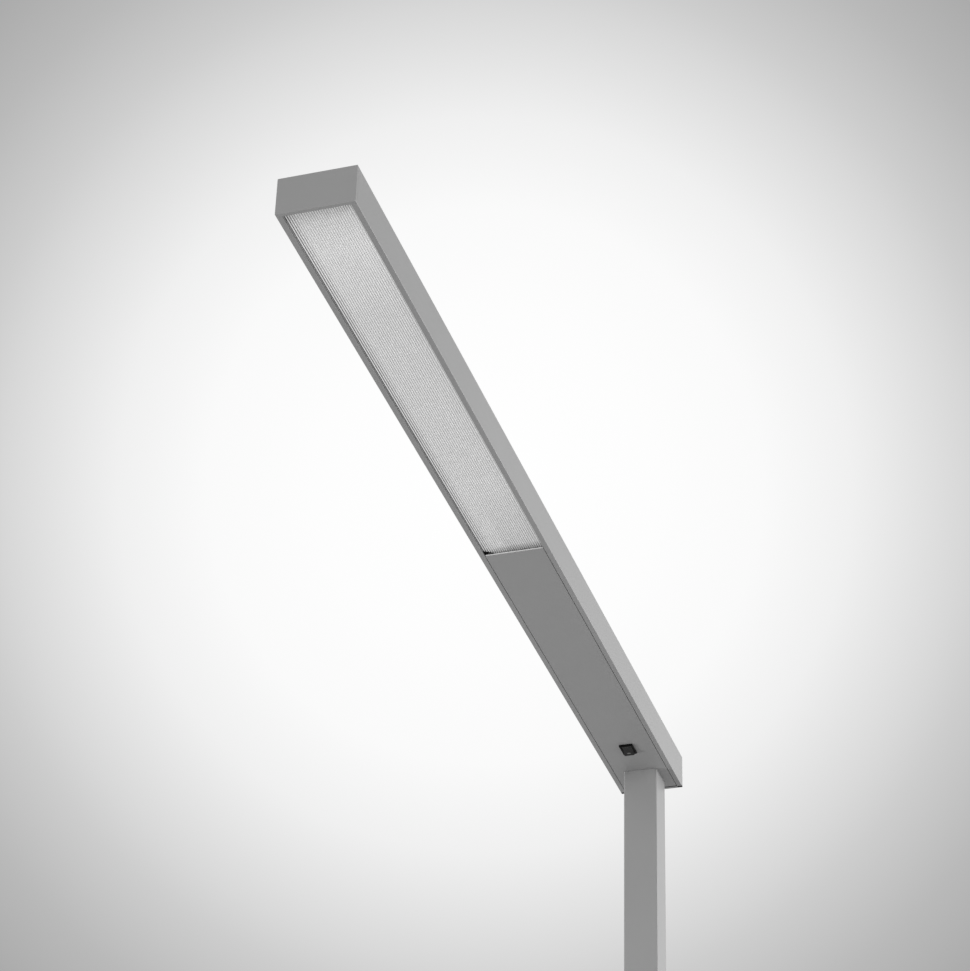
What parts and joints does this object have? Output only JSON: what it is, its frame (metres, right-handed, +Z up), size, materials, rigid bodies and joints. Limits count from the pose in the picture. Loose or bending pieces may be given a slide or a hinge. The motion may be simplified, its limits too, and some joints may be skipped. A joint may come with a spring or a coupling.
{
  "type": "office floor lamp",
  "caption": "Floor lamp with a long slim cantilevered box head on a square mast, ribbed lens under the front half, rocker switch by the mast, flat base plate.",
  "frame": {"origin": "on the floor, on the axis of the mast", "axes": "+X along the head towards its free end, +Y across the head, +Z up"},
  "size_m": [1.2076, 0.3, 1.95],
  "materials": {
    "silver_anodised": "satin silver anodised",
    "silver_powder": "fine satin silver-grey powder coat",
    "floor_pad": "matt closed-cell foam rubber",
    "seal_rubber": "matt moulded rubber",
    "machined_aluminium": "as machined",
    "zinc_steel": "bright zinc plated",
    "black_plastic": "moulded, fine matt",
    "rocker_plastic": "moulded, satin gloss",
    "white_plastic": "moulded, matt",
    "lead_sheath": "matt PVC sheath",
    "wire_insulation": "smooth PVC",
    "earth_insulation": "smooth PVC",
    "ribbed_clear": "clear acrylic with fine lengthwise ribs",
    "opal_acrylic": "satin opal acrylic",
    "board_white": "white solder mask",
    "led_package": "phosphor under clear resin",
    "contact_brass": "bright",
    "spring_steel": "bright drawn",
    "magnet_nickel": "nickel plated"
  },
  "bodies": {
    "root": {"base_plate": "silver_powder", "base_pad": "floor_pad", "base_screws": "zinc_steel", "foot_block": "machined_aluminium", "foot_screws": "zinc_steel", "mast": "silver_anodised", "cable_bushing": "black_plastic", "mains_lead": "lead_sheath", "head_block": "machined_aluminium", "head_block_screws": "zinc_steel", "head_bolts": "zinc_steel", "web_grommet": "black_plastic", "lead_clamp": "white_plastic", "clamp_screws": "zinc_steel", "head_profile": "silver_anodised", "front_cap": "silver_anodised", "rear_cap": "silver_anodised", "rear_seal": "seal_rubber", "ribbed_diffuser": "ribbed_clear", "cover_plate": "silver_anodised", "cover_posts": "machined_aluminium", "cover_magnets": "magnet_nickel", "post_screws": "zinc_steel", "upper_cover": "opal_acrylic", "mains_terminal": "white_plastic", "terminal_screws": "zinc_steel", "pole_screws": "zinc_steel", "earth_lug": "contact_brass", "earth_screw": "zinc_steel", "earth_wire": "earth_insulation", "led_driver": "white_plastic", "driver_screws": "zinc_steel", "driver_terminals": "white_plastic", "driver_wires": "wire_insulation", "lower_board": "board_white", "lower_leds": "led_package", "lower_board_screws": "zinc_steel", "upper_board_1": "board_white", "upper_board_2": "board_white", "upper_leds": "led_package", "upper_board_screws": "zinc_steel", "led_connectors": "white_plastic", "led_wires": "wire_insulation", "switch_housing": "black_plastic", "switch_blades": "contact_brass", "switch_wires": "wire_insulation"},
    "switch_rocker": {"switch_rocker": "rocker_plastic", "switch_plunger": "white_plastic", "plunger_spring": "spring_steel"},
    "seesaw_contact": {"seesaw_contact": "contact_brass"}
  },
  "joints": [
    {"name": "rocker_tilt", "type": "hinge", "parent": "root", "child": "switch_rocker", "pos_m": [0.0758, 0, 1.9098], "axis": [0, 1, 0], "range_deg": [0, 24]},
    {"name": "seesaw_tilt", "type": "hinge", "parent": "root", "child": "seesaw_contact", "pos_m": [0.0758, 0, 1.91755], "axis": [0, 1, 0], "range_deg": [-12, 0]}
  ],
  "couplings": [
    {"joint": "seesaw_tilt", "follows": "rocker_tilt", "ratio": -0.5}
  ]
}
